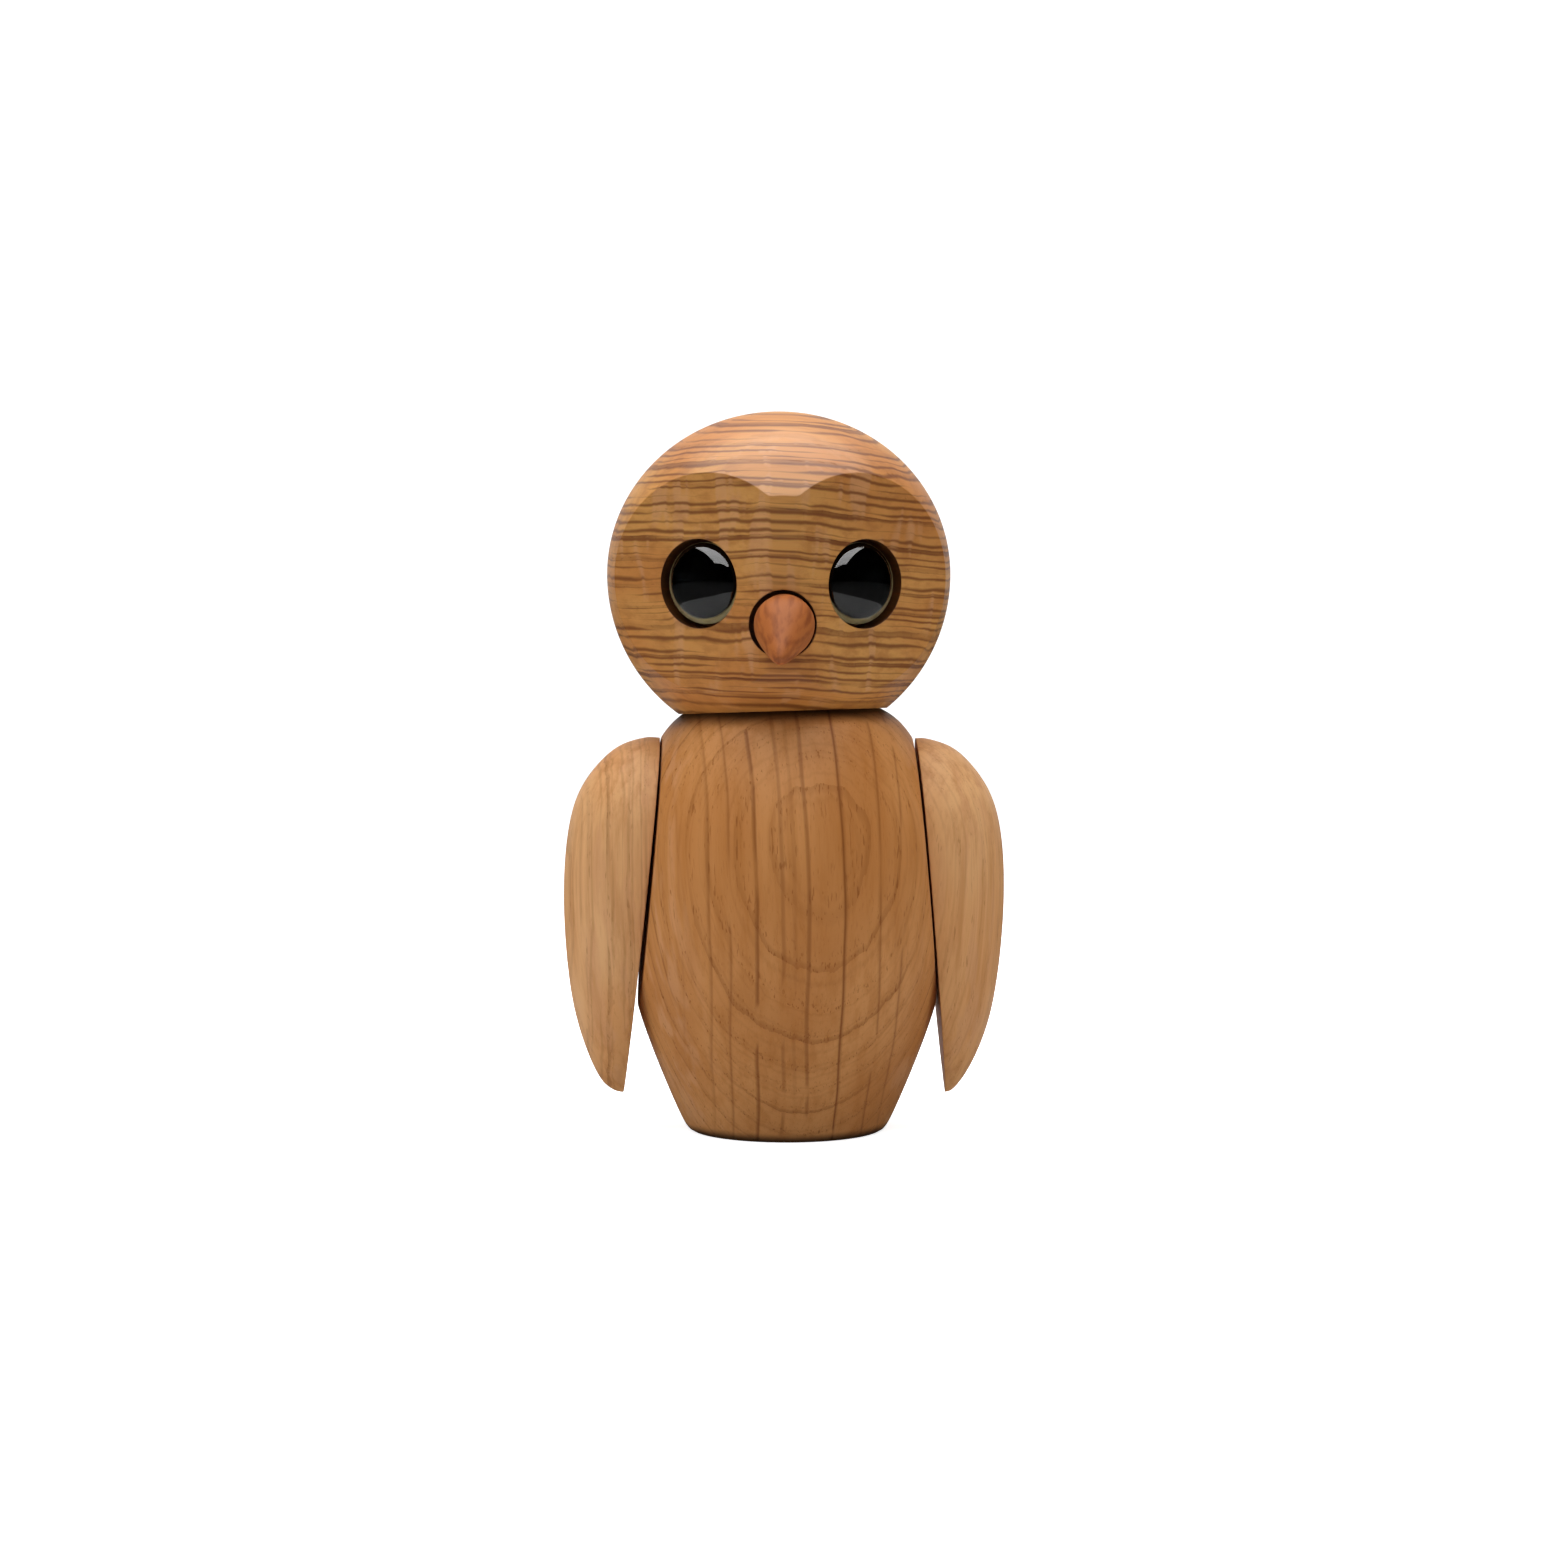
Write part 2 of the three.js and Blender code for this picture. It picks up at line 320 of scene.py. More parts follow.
def cut(piece, tool):
    """Takes the tool's solid out of the piece."""
    knife = piece.modifiers.new("Cut", "BOOLEAN")
    knife.operation = "DIFFERENCE"
    knife.solver = "MANIFOLD"
    knife.object = tool
    settle(piece)
    bpy.data.objects.remove(tool)


def link_mesh(name, corners, faces):
    """A new mesh object in the scene."""
    mesh = bpy.data.meshes.new(name)
    mesh.from_pydata(corners, [], faces)
    mesh.update()
    piece = bpy.data.objects.new(name, mesh)
    bpy.context.scene.collection.objects.link(piece)
    return piece


def block(axis, at, size=0.15):
    """A block that fills the far side of a plane. Its size is in metres."""
    half = size / 2
    corners = [(x, y, z) for z in (0, size) for y in (-half, half) for x in (-half, half)]
    faces = [(0, 2, 3, 1), (4, 5, 7, 6), (0, 1, 5, 4), (2, 6, 7, 3), (0, 4, 6, 2), (1, 3, 7, 5)]
    tool = link_mesh("block", corners, faces)
    tool.data.transform(Vector(axis).to_track_quat("Z", "Y").to_matrix().to_4x4())
    tool.data.transform(Matrix.Translation(Vector(at)))
    return tool


def drill(at, axis, radius, depth, reach):
    """A round cutter along an axis, from a depth behind a point to its reach beyond, in metres."""
    line = [(-depth, 0), (-depth, radius), (reach, radius), (reach, 0)]
    tool = turn("drill", line, 160, 60, None)
    aim(tool, axis, at)
    return tool


def aim(piece, axis, at):
    """Turns a piece's mesh from Z to the axis and moves it to the point."""
    piece.data.transform(Vector((0, 0, 1)).rotation_difference(Vector(axis)).to_matrix().to_4x4())
    piece.data.transform(Matrix.Translation(Vector(at)))


def head_turn(size=3):
    """The turn from the head's own frame to the owl's."""
    return Matrix.Rotation(math.radians(HEAD_YAW), size, "Z")


def head_place(point):
    """A point of the head's own frame in the owl's, in metres."""
    return head_turn() @ point + Vector(HEAD_CENTRE) * MM


def seat_head(piece):
    """Moves a mesh from the head's own frame to the owl's."""
    piece.data.transform(head_turn(4))
    piece.data.transform(Matrix.Translation(Vector(HEAD_CENTRE) * MM))


def eye_place(side):
    """An eye's outward axis, its socket's centre and its glass's rim.

    They are in the head's own frame, and the two points in metres.
    """
    splay = math.radians(FACE_SPLAY)
    tip = math.radians(FACE_TIP)
    normal = Vector((side * math.sin(splay) * math.cos(tip), -math.cos(splay) * math.cos(tip),
                     math.sin(tip)))
    across = Vector((side * math.cos(splay), math.sin(splay), 0))
    up = normal.cross(across) * side
    centre = normal * FACE_DEPTH + across * SOCKET_OUT + up * SOCKET_UP
    rim = centre - normal * GLASS_RECESS - across * GLASS_IN
    return normal, centre * MM, rim * MM


def ridge_planes(steps=4):
    """The strip between the two flats of the face and its rounded edges, as planes, in metres."""
    left, right = eye_place(-1)[0], eye_place(1)[0]
    ahead = (left + right).normalized()
    half = math.acos(ahead.dot(right))
    strip = ahead * (FACE_DEPTH / math.cos(half) - RIDGE_FLAT * math.tan(half))
    planes = [(ahead, strip * MM)]
    for side in (-1, 1):
        middle = ahead * math.cos(half / 2) + Vector((side * math.sin(half / 2), 0, 0))
        edge = strip + Vector((side * RIDGE_FLAT, 0, 0))
        core = edge - middle * (RIDGE_ROUND / math.cos(half / 2))
        for i in range(1, steps):
            bearing = half * i / steps
            normal = ahead * math.cos(bearing) + Vector((side * math.sin(bearing), 0, 0))
            planes.append((normal, (core + normal * RIDGE_ROUND) * MM))
    return planes


def head_holes(size):
    """The sockets and the beak's hole, as drill() takes them: a point in each, axis and sizes."""
    holes = []
    for side in (-1, 1):
        normal, centre, _ = eye_place(side)
        holes.append((centre, normal, size.socket_radius, SOCKET_DEPTH * MM, SOCKET_DRILL * MM))
    foot = Vector((0, (BEAK_CENTRE[1] + BORE_DEPTH) * MM, BORE_HEIGHT * MM))
    holes.append((foot, Vector((0, -1, 0)), BORE_RADIUS * MM, 0, BORE_DRILL * MM))
    return holes


def seam_up():
    """The way that the neck seam faces."""
    tilt = math.radians(SEAM_TILT)
    return Vector((-math.sin(tilt), 0, math.cos(tilt)))


def beak_axis():
    """The way the beak points, in the head's own frame."""
    droop = math.radians(BEAK_DROOP)
    aside = math.radians(BEAK_TURN)
    return Vector((math.sin(aside), -math.cos(droop) * math.cos(aside),
                   -math.sin(droop) * math.cos(aside)))


def finish_piece(piece, finish, node, crease=28.0, hole_shade=None, holes=()):
    """Shades a piece, puts its finish on, and lets it stand for its CAD node.

    The walls of the holes, given by foot, axis and radius, get the second finish, which paints the
    shade in them.
    """
    mesh = piece.data
    mesh.materials.clear()
    mesh.materials.append(finish)
    mesh.polygons.foreach_set("material_index", [0] * len(mesh.polygons))
    if hole_shade:
        mesh.materials.append(hole_shade)
        slack = FLOOR_SLACK * MM
        for face in mesh.polygons:
            for foot, axis, radius in holes:
                place = face.center - foot
                along = place.dot(axis)
                wall = abs(face.normal.dot(axis)) < WALL_LEAN or along < slack
                if wall and -slack < along and (place - axis * along).length < radius:
                    face.material_index = 1
    mesh.polygons.foreach_set("use_smooth", [True] * len(mesh.polygons))
    mesh.set_sharp_from_angle(angle=math.radians(crease))
    mesh.update()
    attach(piece, "root")
    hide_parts(node)


# Finishes

def new_material(name):
    """A material with an empty tree, and the function that adds a node to it."""
    material = bpy.data.materials.new(name)
    material.use_nodes = True
    material.node_tree.nodes.clear()
    return material, partial(add_node, material.node_tree)


def oak(name, look, grain):
    """Oiled oak, sanded smooth: satin, with growth rings, long rays and open pores cut by the form.

    grain says how the piece lies in its trunk, and look gives its colours and how strong each
    figure is. The eye gets dark lines where a ring or ray is cut across, long tapered lines of
    pores between the rings, pale silky ribbons where a ray is laid open, painted shade toward the
    given ends, and a soft sheen that the pores break up. The three numbers of a pattern are its
    cycles per millimetre, the last of them along the fibre.
    """
    material, add = new_material(name)
    where = add("ShaderNodeTexCoord").node.outputs
    upright = Vector(grain["fibre"]).rotation_difference(Vector((0, 0, 1)))
    turn_by = upright.to_euler("XYZ")
    shift = -(upright.to_matrix() @ Vector(grain["pith"]))
    local = add("ShaderNodeMapping", {"Vector": where["Object"], "Scale": (1 / MM,) * 3,
                                      "Rotation": turn_by, "Location": shift}, vector_type="POINT")
    facing = add("ShaderNodeMapping", {"Vector": where["Normal"], "Rotation": turn_by},
                 vector_type="VECTOR")

    # the trunk wanders along the fibre, in long swings and small ripples
    swayed = local
    for pattern, reach in (((0.03, 0.03, 0.012), grain["sway"]),
                           ((0.11, 0.11, 0.05), grain["ripple"])):
        slow = add(VECTOR, [local, pattern], operation="MULTIPLY")
        sway = add(NOISE, {"Vector": slow, "Scale": 1.0, "Detail": 1.0}, out="Color")
        sway = add(VECTOR, [sway, (0.5, 0.5, 0.5)], operation="SUBTRACT")
        swayed = add(VECTOR, [sway, (reach, reach, 0.0), swayed], operation="MULTIPLY_ADD")
    parts = add("ShaderNodeSeparateXYZ", [swayed]).node.outputs
    squares = [add(MATH, [parts[axis], parts[axis]], operation="MULTIPLY") for axis in "XY"]
    radius = add(MATH, [add(MATH, squares, operation="ADD")], operation="SQRT")
    angle = add(MATH, [parts["Y"], parts["X"]], operation="ARCTAN2")

    def stretched(pattern):
        """Places in the wood, in cycles of the pattern."""
        return add(VECTOR, [local, pattern], operation="MULTIPLY")

    def by_line(line, across, jump, along):
        """Places that run on along a numbered line and jump from one line to the next."""
        rates = ((parts["Y"], across), (line, jump), (parts["Z"], along))
        return add("ShaderNodeCombineXYZ",
                   [add(MATH, [value, rate], operation="MULTIPLY") for value, rate in rates])

    def patches(places, low, high, detail=2.0, rough=0.5):
        """Patches of noise that fade in from its low level to its high one."""
        noise = add(NOISE, {"Vector": places, "Scale": 1.0, "Detail": detail, "Roughness": rough})
        return add(RANGE, [noise, low, high], interpolation_type="SMOOTHSTEP")

    # where a surface lies along the rays, they show as pale ribbons that nudge the ring lines
    sine = add(MATH, [angle], operation="SINE")
    across = add("ShaderNodeCombineXYZ", [add(MATH, [sine, -1.0], operation="MULTIPLY"),
                                          add(MATH, [angle], operation="COSINE")])
    laid = add(VECTOR, [facing, across], out="Value", operation="DOT_PRODUCT")
    laid = add(MATH, [laid], operation="ABSOLUTE")
    laid = add(RANGE, [laid, 0.45, 0.8], interpolation_type="SMOOTHSTEP")
    ribbon = patches(stretched(grain["ribbon"]), 0.5, 0.64, rough=0.6)
    ribbon = add(MATH, [ribbon, laid], operation="MULTIPLY")

    # growth rings of uneven width with ragged edges
    slowly = add("ShaderNodeCombineXYZ", [add(MATH, [radius, 0.16], operation="MULTIPLY"), 3.1])
    uneven = add(NOISE, {"Vector": slowly, "Scale": 1.0, "Detail": 1.0})
    ragged = add(NOISE, {"Vector": stretched(grain["rag"]), "Scale": 1.0, "Detail": 3.0,
                         "Roughness": 0.6})
    ring = add(MATH, [radius, grain["ring"]], operation="DIVIDE")
    for wander, reach in ((uneven, grain["uneven"]), (ragged, grain["ragged"]), (ribbon, 0.05)):
        ring = add(MATH, [wander, reach, ring], operation="MULTIPLY_ADD")
    ring = add(MATH, [ring, grain["phase"]], operation="ADD")
    within = add(MATH, [ring], operation="FRACT")
    count = add(MATH, [ring], operation="FLOOR")
    shade = add("ShaderNodeValToRGB", [within])
    place_keys(shade, RING_KEYS)
    each_ring = add("ShaderNodeTexWhiteNoise", {"W": count}, out="Value", noise_dimensions="1D")
    each_ring = add(MATH, [each_ring, 0.6, 0.5], operation="MULTIPLY_ADD")
    fading = patches(by_line(count, 0.06, 7.3, 0.04), 0.3, 0.62)
    strength = add(MATH, [fading, each_ring], operation="MULTIPLY")
    veiled = add(MATH, [ribbon, -0.45, 1.0], operation="MULTIPLY_ADD")
    ring_dark = add(MATH, [shade, strength], operation="MULTIPLY")
    ring_dark = add(MATH, [ring_dark, veiled], operation="MULTIPLY")

    # open pores: short dark dashes along the fibre, crowded where each ring begins
    early = add(RANGE, [within, look["early"], 0.0], interpolation_type="SMOOTHSTEP")
    crowded = add(MATH, [early, 0.8, 0.2], operation="MULTIPLY_ADD")
    pore = patches(stretched(grain["pores"]), 0.6, 0.7, detail=1.0)
    pore = add(MATH, [pore, crowded], operation="MULTIPLY")

    # lines of pores: each runs in its own lane between the rings and tapers out at its ends
    lanes = add(MATH, [ring, look["lanes"]], operation="MULTIPLY")
    aside = add(MATH, [add(MATH, [lanes], operation="FRACT"), 0.5], operation="SUBTRACT")
    aside = add(MATH, [add(MATH, [aside], operation="ABSOLUTE"), -1.0], operation="MULTIPLY")
    lane = add(MATH, [lanes], operation="FLOOR")
    reach = patches(by_line(lane, 0.05, 5.3, 0.045), 0.3, 0.58)
    streak = add(MATH, [reach, look["streak_width"], aside], operation="MULTIPLY_ADD")
    streak = add(MATH, [streak, look["streak_edge"]], operation="MULTIPLY", use_clamp=True)

    fibre = patches(stretched((0.5, 0.5, 0.02)), 0.4, 0.7, 4.0, 0.65)
    layers = [(fibre, look["fibre"], look["dark"]), (ribbon, look["fleck"], look["ray_light"]),
              (streak, look["streak"], look["line"]), (ring_dark, look["ring"], look["line"]),
              (pore, look["pore"], look["line"])]

    # rays cut across: thin dark sheets that stand on the pith, each at its own place
    if grain["ray_places"]:
        offset = add(MATH, [angle, BODY_RAY_FROM], operation="SUBTRACT")
        offset = add(MATH, [offset, BODY_RAY_RADIUS], operation="MULTIPLY")
        wander = add(NOISE, {"Vector": stretched((0.05, 0.05, 0.035)), "Scale": 1.0, "Detail": 1.0})
        wander = add(MATH, [wander, 0.5], operation="SUBTRACT")
        offset = add(MATH, [wander, RAY_WANDER, offset], operation="MULTIPLY_ADD")
        sheets = add("ShaderNodeValToRGB",
                     [add(MATH, [offset, 1 / RAY_SPAN, 0.5], operation="MULTIPLY_ADD")])
        place_keys(sheets, [((place + edge) / RAY_SPAN + 0.5, 0.0 if edge else tone)
                            for place, tone in grain["ray_places"]
                            for edge in (-RAY_WIDTH, 0, RAY_WIDTH)])
        broken = patches(stretched((0.22, 0.22, 0.03)), 0.34, 0.44, detail=1.0)
        sheet = add(MATH, [sheets, broken], operation="MULTIPLY")
        upright_cut = add(MATH, [1.0, laid], operation="SUBTRACT")
        sheet = add(MATH, [sheet, upright_cut], operation="MULTIPLY")
        layers.append((sheet, 1.0, look["ray_dark"]))

    blotch = patches(stretched((0.07, 0.07, 0.02)), 0.35, 0.65)
    colour = add(MIX, {0: blotch, 6: look["light"], 7: look["mid"]}, out=2, data_type="RGBA")
    for mask, share, tone in layers:
        share = add(MATH, [mask, share], operation="MULTIPLY", use_clamp=True)
        colour = add(MIX, {0: share, 6: colour, 7: tone}, out=2, data_type="RGBA")

    # painted shade toward each given end (on the body, under the head and along the foot), a little
    # less on faces that look along the end's axis
    for axis, start, end in look["ends"]:
        toward = add(VECTOR, [where["Object"], axis / MM], out="Value", operation="DOT_PRODUCT")
        rough = add(MATH, [uneven, 0.5], operation="SUBTRACT")
        toward = add(MATH, [rough, END_SHADE_RAGGED, toward], operation="MULTIPLY_ADD")
        near = add(RANGE, [toward, start, end], interpolation_type="SMOOTHSTEP")
        flat = add(VECTOR, [where["Normal"], axis], out="Value", operation="DOT_PRODUCT")
        flat = add(RANGE, [flat, 0.85, 0.98], interpolation_type="SMOOTHSTEP")
        shade_depth = add(MATH, [flat, -0.55, 0.9], operation="MULTIPLY_ADD")
        share = add(MATH, [near, shade_depth], operation="MULTIPLY")
        colour = add(MIX, {0: share, 6: colour, 7: look["end"]}, out=2, data_type="RGBA")

    height = add(MATH, [ring_dark, -0.6], operation="MULTIPLY")
    height = add(MATH, [height, pore], operation="SUBTRACT")
    soft = add("ShaderNodeBevel", {"Radius": look["edge"]}, samples=4)
    bump = add("ShaderNodeBump", {"Strength": 0.3, "Distance": 0.0001, "Height": height,
                                  "Normal": soft})
    gloss = add(MATH, [pore, 0.2, look["gloss"]], operation="MULTIPLY_ADD")
    shader = add("ShaderNodeBsdfPrincipled", {"Base Color": colour, "Roughness": gloss, "IOR": 1.5,
                                              "Specular IOR Level": look["sheen"], "Normal": bump})
    add("ShaderNodeOutputMaterial", {"Surface": shader})
    return material


def oak_look(finish, **changes):
    """The oak's colours and the strengths of its figure, from the scene's settings."""
    look = {
        "light": finish.oak_light, "mid": finish.oak_mid, "dark": finish.oak_dark,
        "line": finish.ring_line, "ray_dark": finish.ray_dark, "ray_light": finish.ray_light,
        "end": finish.painted_end_shade, "ends": (), "edge": finish.edge, "gloss": 0.42, "sheen": 0.25,
        "early": 0.4, "ring": 0.7, "pore": 0.4, "fibre": 0.4, "fleck": 0.45,
        "streak": 0.3, "streak_width": 0.19, "streak_edge": 7.0, "lanes": 2.0,
    }
    return look | changes


def oak_grain(pith, fibre, ring, **changes):
    """How a piece lies in its trunk: a point on the pith, the fibre's way and the ring's width.

    ring and the swings are in millimetres; phase, uneven and ragged are parts of a ring's width;
    rag, ribbon and pores are patterns.
    """
    grain = {
        "pith": pith, "fibre": fibre, "ring": ring, "phase": 0.0, "sway": 3.0, "ripple": 0.8,
        "uneven": 1.0, "ragged": 0.35, "rag": (0.3, 0.3, 0.04), "ribbon": (0.3, 0.3, 0.06),
        "pores": (3.4, 3.4, 0.4), "ray_places": (),
    }
    return grain | changes


def eye_paint(finish, radius, pupil, centre):
    """Enamel painted on the glass's flat back: a black pupil in a straw ring, faintly brushed."""
    material, add = new_material("Painted eye enamel")
    place = add("ShaderNodeTexCoord", out="Object")
    share = add(VECTOR, [place, centre], out="Value", operation="DISTANCE")
    share = add(MATH, [share, radius], operation="DIVIDE")
    brush = add(NOISE, {"Vector": place, "Scale": 900.0, "Detail": 3.0})
    ragged = add(MATH, [brush, 0.03, -0.015], operation="MULTIPLY_ADD")
    edge = add(MATH, [share, ragged], operation="ADD")
    ring = add(RANGE, [edge, pupil - 0.02, pupil + 0.03], interpolation_type="SMOOTHSTEP")
    tone = add(MIX, {0: brush, 6: finish.iris, 7: finish.iris_dark}, out=2, data_type="RGBA")
    colour = add(MIX, {0: ring, 6: finish.pupil, 7: tone}, out=2, data_type="RGBA")
    gloss = add(RANGE, {"Value": brush, "To Min": 0.3, "To Max": 0.45})
    bump = add("ShaderNodeBump", {"Strength": 0.2, "Distance": 0.00005, "Height": brush})
    shader = add("ShaderNodeBsdfPrincipled", {"Base Color": colour, "Roughness": gloss,
                                              "Specular IOR Level": 0.0, "Normal": bump})
    add("ShaderNodeOutputMaterial", {"Surface": shader})
    return material


def eye_glass(finish):
    """Fire-polished lead glass: clear, with hard-edged reflections and a barely wavy face."""
    material, add = new_material("Clear fire-polished glass")
    place = add("ShaderNodeTexCoord", out="Object")
    wave = add(NOISE, {"Vector": place, "Scale": 220.0, "Detail": 0.0})
    bump = add("ShaderNodeBump", {"Strength": 0.05, "Distance": 0.0001, "Height": wave})
    shader = add("ShaderNodeBsdfPrincipled",
                 {"Base Color": finish.glass, "Roughness": 0.02, "IOR": 1.7, "Normal": bump,
                  "Transmission Weight": 1.0, "Specular IOR Level": 1.0})
    add("ShaderNodeOutputMaterial", {"Surface": shader})
    return material


def beak_wood(finish):
    """Reddish fruitwood, turned and oiled: close grained and even, darker in fine streaks."""
    material, add = new_material("Oiled fruitwood")
    place = add("ShaderNodeTexCoord", out="Object")
    upright = beak_axis().rotation_difference(Vector((0, 0, 1)))
    upright = upright.to_matrix() @ head_turn().transposed()
    local = add("ShaderNodeMapping", {"Vector": place, "Rotation": upright.to_euler("XYZ"),
                                      "Scale": (1 / MM,) * 3}, vector_type="POINT")
    long = add(VECTOR, [local, (0.9, 0.9, 0.15)], operation="MULTIPLY")
    streak = add(NOISE, {"Vector": long, "Scale": 1.0, "Detail": 4.0})
    tone = add("ShaderNodeValToRGB", [streak])
    place_keys(tone, [(0.25, finish.beak_dark), (0.55, finish.beak_light)])
    fine = add(NOISE, {"Vector": long, "Scale": 4.0, "Detail": 2.0})
    gloss = add(RANGE, {"Value": fine, "To Min": 0.45, "To Max": 0.6})
    bump = add("ShaderNodeBump", {"Strength": 0.25, "Distance": 0.00006, "Height": fine})
    shader = add("ShaderNodeBsdfPrincipled", {"Base Color": tone, "Roughness": gloss, "IOR": 1.5,
                                              "Specular IOR Level": 0.25, "Normal": bump})
    add("ShaderNodeOutputMaterial", {"Surface": shader})
    return material


def floor_paper(stage):
    """White paper floor: plain and pale as it is seen, a touch greyer under the owl.

    It gives light back as a white table would: most from round the owl, less from right under
    it, and little from further out.
    """
    material, add = new_material("White paper floor")
    ray = add("ShaderNodeLightPath").node.outputs
    place = add("ShaderNodeTexCoord", out="Object")
    out = add(VECTOR, [place], out="Value", operation="LENGTH")
    glow = add(RANGE, [out, 0.05, 0.35, 0.85, 1.0], interpolation_type="SMOOTHSTEP")
    table = add("ShaderNodeValToRGB", [out])
    place_keys(table, PAPER_KEYS)
    in_gloss = add(MATH, [ray["Is Glossy Ray"], -0.4, 1.0], operation="MULTIPLY_ADD")
    shown = add(MATH, [table, in_gloss], operation="MULTIPLY")
    paper = add("ShaderNodeBsdfDiffuse", {"Color": shown})
    bounce = add(MATH, [ray["Is Diffuse Ray"], 0.26], operation="MULTIPLY")
    bounce = add("ShaderNodeEmission", {"Strength": bounce})
    lights = add("ShaderNodeAddShader", [paper, bounce])
    seen = add("ShaderNodeBsdfPrincipled", {"Base Color": stage.floor, "Roughness": 0.9,
                                            "Emission Color": (1, 1, 1, 1),
                                            "Emission Strength": glow})
    both = add("ShaderNodeMixShader", [ray["Is Camera Ray"], lights, seen])
    add("ShaderNodeOutputMaterial", {"Surface": both})
    return material


def white_surround():
    """Plain white all round for the camera, and behind the owl for what its edges reflect."""
    material, add = new_material("White surround")
    ray = add("ShaderNodeLightPath").node.outputs
    place = add("ShaderNodeTexCoord", out="Object")
    parts = add("ShaderNodeSeparateXYZ", [place]).node.outputs
    aside = add(MATH, [parts["X"]], operation="ABSOLUTE")
    behind = add(MATH, [parts["Y"], aside], operation="GREATER_THAN")
    behind = add(MATH, [behind, 0.6], operation="MULTIPLY")
    shown = add(MATH, [ray["Is Camera Ray"], behind], operation="MAXIMUM")
    shown = add(MATH, [shown, 1.2], operation="MULTIPLY")
    glow = add("ShaderNodeEmission", {"Strength": shown})
    add("ShaderNodeOutputMaterial", {"Surface": glow})
    return material


def colour_setting(name, text, code):
    """A colour that a user can change, from its sRGB hex code."""
    return FloatVectorProperty(name=name, description=text, subtype="COLOR", size=4, min=0, max=1,
                               default=linear(code))


class OwlSizes(bpy.types.PropertyGroup):
    """Sizes of the owl that a maker would change."""

    face_depth: FloatProperty(name="Face depth", default=FACE_DEPTH * MM, subtype="DISTANCE",
                              description="From the middle of the head to each flat of the face")
    socket_radius: FloatProperty(name="Socket radius", default=SOCKET_RADIUS * MM,
                                 subtype="DISTANCE", description="Radius of the bored eye sockets")
    glass_radius: FloatProperty(name="Glass radius", default=GLASS_RADIUS * MM,
                                subtype="DISTANCE", description="Radius of each glass eye")
    pupil: FloatProperty(name="Pupil share", default=0.8, min=0.2, max=1.0, subtype="FACTOR",
                         description="The pupil's part of the eye's radius")
    head_rings: FloatProperty(name="Head ring width", default=0.0037, subtype="DISTANCE",
                              description="Width of one year's growth in the head's oak")
    body_rings: FloatProperty(name="Body ring width", default=0.0022, subtype="DISTANCE",
                              description="Width of one year's growth in the body's oak")
    sides: IntProperty(name="Sides", default=192, min=32, max=256,
                       description="Faces round each turned piece")


class OwlFinish(bpy.types.PropertyGroup):
    """Colours of the oak, the beak, the eyes and the painted shade."""

    oak_light: colour_setting("Pale oak", "Lightest wood of the head", "#D3964E")
    oak_mid: colour_setting("Oak", "Main colour of the head", "#C6803D")
    body_light: colour_setting("Pale body oak", "Lightest wood of the body", "#CA8C53")
    body_mid: colour_setting("Body oak", "Main colour of the body", "#BA7A42")
    wing_light: colour_setting("Pale wing oak", "Lightest wood of the wings", "#DDA975")
    wing_mid: colour_setting("Wing oak", "Main colour of the wings", "#D69A62")
    oak_dark: colour_setting("Brown oak", "Darker streaks along the fibre", "#A8682F")
    ring_line: colour_setting("Ring line", "Porous early wood of each ring", "#6E370A")
    ray_dark: colour_setting("Cut ray", "Rays that are cut across", "#7A441C")
    ray_light: colour_setting("Open ray", "Rays that lie in the surface", "#D29A6C")
    # painted shade under the head and along the body's foot, not a colour of the oak
    painted_end_shade: colour_setting("Painted end shade", "Painted shade under the head and along the foot", "#241204")
    # the three colours below are painted shade on the walls of the holes, not the oak's own colour
    hole_shade_light: colour_setting("Pale hole shade", "Lightest shade painted in the holes", "#5A3418")
    hole_shade_mid: colour_setting("Hole shade", "Main shade painted in the holes", "#4A2A12")
    hole_shade_dark: colour_setting("Darkest hole shade", "Darker streaks in the painted shade", "#3A200E")
    beak_light: colour_setting("Beak", "Main colour of the beak", "#B26632")
    beak_dark: colour_setting("Beak streak", "Darker streaks of the beak", "#864521")
    iris: colour_setting("Eye ring", "Ring round the pupil", "#F0DFAE")
    iris_dark: colour_setting("Eye ring shade", "Darker brush marks of the ring", "#C4AE72")
    pupil: colour_setting("Pupil", "Black of the eye", "#050505")
    glass: colour_setting("Glass", "Tint of the clear glass", "#FFFFFF")
    edge: FloatProperty(name="Edge softness", default=0.0003, subtype="DISTANCE",
                        description="How far sanding has rounded the cut edges")


class OwlStage(bpy.types.PropertyGroup):
    """Floor and light."""

    floor: colour_setting("Floor", "Pale floor as it is seen", "#F2F2F2")
    lamp: FloatProperty(name="Softbox", default=19.0, unit="POWER",
                        description="Strength of the overhead softbox")
    skirt: FloatProperty(name="Softbox skirt", default=10.0, unit="POWER",
                         description="Strength of the softbox's front, which shows in the gloss")
    side: FloatProperty(name="Side reflectors", default=3.0, unit="POWER",
                        description="Strength of the low reflector at the left; the right has half")
    room: FloatProperty(name="Room light", default=0.03, min=0,
                        description="Strength of the dim light all round")


def sizes():
    """The scene's sizes of the owl."""
    return bpy.context.scene.owl_sizes


def finishes():
    """The scene's colours of the owl."""
    return bpy.context.scene.owl_finish


# Stage

def hide_from(item, *rays):
    """Hides an object from the named kinds of ray."""
    for ray in rays:
        setattr(item, "visible_" + ray, False)


def area_light(name, size, power, at):
    """A rectangular light that faces down and isn't seen itself."""
    light = bpy.data.lights.new(name, "AREA")
    light.shape = "RECTANGLE"
    light.size, light.size_y = size
    light.energy = power
    lamp = bpy.data.objects.new(name, light)
    lamp.location = at
    hide_from(lamp, "camera")
    bpy.context.scene.collection.objects.link(lamp)
    return lamp


